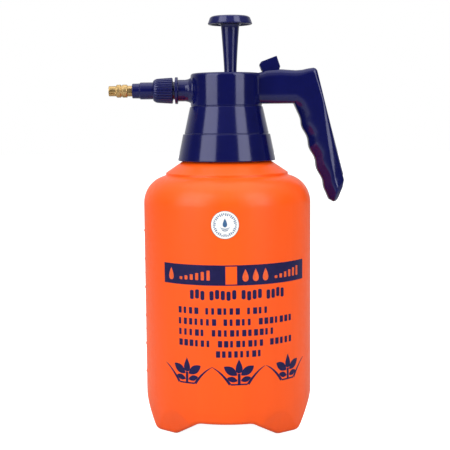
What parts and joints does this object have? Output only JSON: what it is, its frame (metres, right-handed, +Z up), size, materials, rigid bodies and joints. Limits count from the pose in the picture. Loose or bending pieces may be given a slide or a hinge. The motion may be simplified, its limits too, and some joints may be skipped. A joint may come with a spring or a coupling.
{
  "type": "pump sprayer",
  "caption": "Hand pump pressure sprayer: round bottle on moulded feet, screw-on head with plunger, thumb trigger, rear grip and adjustable brass nozzle.",
  "frame": {"origin": "on the bottle's axis, in the plane that the feet stand on", "axes": "+Z up along the bottle, the spout points along -X and the grip is on the +X side; the printed front faces -Y"},
  "size_m": [0.175, 0.1252, 0.305],
  "materials": {
    "bottle_plastic": "satin",
    "navy_plastic": "gloss",
    "brass": "turned",
    "rubber": "matt",
    "clear_plastic": "natural",
    "steel": "bright",
    "sticker_paper": "coated",
    "print_ink": "screen print"
  },
  "bodies": {
    "bottle": {"bottle": "bottle_plastic", "round_sticker": "sticker_paper"},
    "neck_gasket": {"neck_gasket": "rubber"},
    "head": {"head_housing": "navy_plastic", "grip_cover": "navy_plastic", "trigger_pin": "steel", "pump_barrel": "clear_plastic", "barrel_seal": "rubber", "barrel_nut": "clear_plastic", "rod_guide": "clear_plastic", "check_valve": "rubber", "valve_cage": "clear_plastic", "dip_tube": "clear_plastic", "dip_strainer": "clear_plastic"},
    "plunger": {"plunger_knob": "navy_plastic", "plunger_stem": "navy_plastic", "piston": "clear_plastic", "piston_cup": "rubber"},
    "trigger": {"trigger": "navy_plastic"},
    "valve": {"valve_yoke": "clear_plastic", "valve_pin": "brass", "valve_o_rings": "rubber", "valve_spring": "steel"},
    "nozzle": {"nozzle_tube": "navy_plastic", "nozzle_stem": "brass", "spout_o_ring": "rubber"},
    "collar": {"collar_nut": "navy_plastic"},
    "nozzle_seal": {"nozzle_o_ring": "rubber"},
    "nozzle_cap": {"nozzle_cap": "brass"}
  },
  "joints": [
    {"name": "head_lift", "type": "slide", "parent": "bottle", "child": "neck_gasket", "axis": [0, 0, 1], "range_m": [0, 0.21]},
    {"name": "head_turn", "type": "hinge", "parent": "neck_gasket", "child": "head", "pos_m": [0, 0, 0.21], "axis": [0, 0, 1], "range_deg": [0, 540]},
    {"name": "plunger_slide", "type": "slide", "parent": "head", "child": "plunger", "axis": [0, 0, 1], "range_m": [-0.035, 0]},
    {"name": "trigger_press", "type": "hinge", "parent": "head", "child": "trigger", "pos_m": [0.0295, 0, 0.2605], "axis": [0, 1, 0], "range_deg": [0, 18], "stiffness_Nm_per_rad": 0.2, "springref_deg": -5.73},
    {"name": "valve_slide", "type": "slide", "parent": "head", "child": "valve", "axis": [-1, 0, 0], "range_m": [0, 0.00298], "deforming": ["valve_spring"]},
    {"name": "nozzle_draw", "type": "slide", "parent": "head", "child": "nozzle", "axis": [-1, 0, 0], "range_m": [0, 0.01]},
    {"name": "collar_turn", "type": "hinge", "parent": "nozzle", "child": "collar", "pos_m": [-0.045, 0, 0.2505], "axis": [-1, 0, 0], "range_deg": [0, 1440]},
    {"name": "nozzle_advance", "type": "slide", "parent": "nozzle", "child": "nozzle_seal", "axis": [-1, 0, 0], "range_m": [0, 0.002]},
    {"name": "nozzle_turn", "type": "hinge", "parent": "nozzle_seal", "child": "nozzle_cap", "pos_m": [-0.08, 0, 0.2505], "axis": [-1, 0, 0], "range_deg": [0, 720]}
  ],
  "couplings": [
    {"joint": "trigger_press", "follows": "valve_slide", "rad_per_m": 105.26},
    {"joint": "collar_turn", "follows": "nozzle_draw", "rad_per_m": 2513.3},
    {"joint": "nozzle_turn", "follows": "nozzle_advance", "rad_per_m": 6283.2}
  ]
}
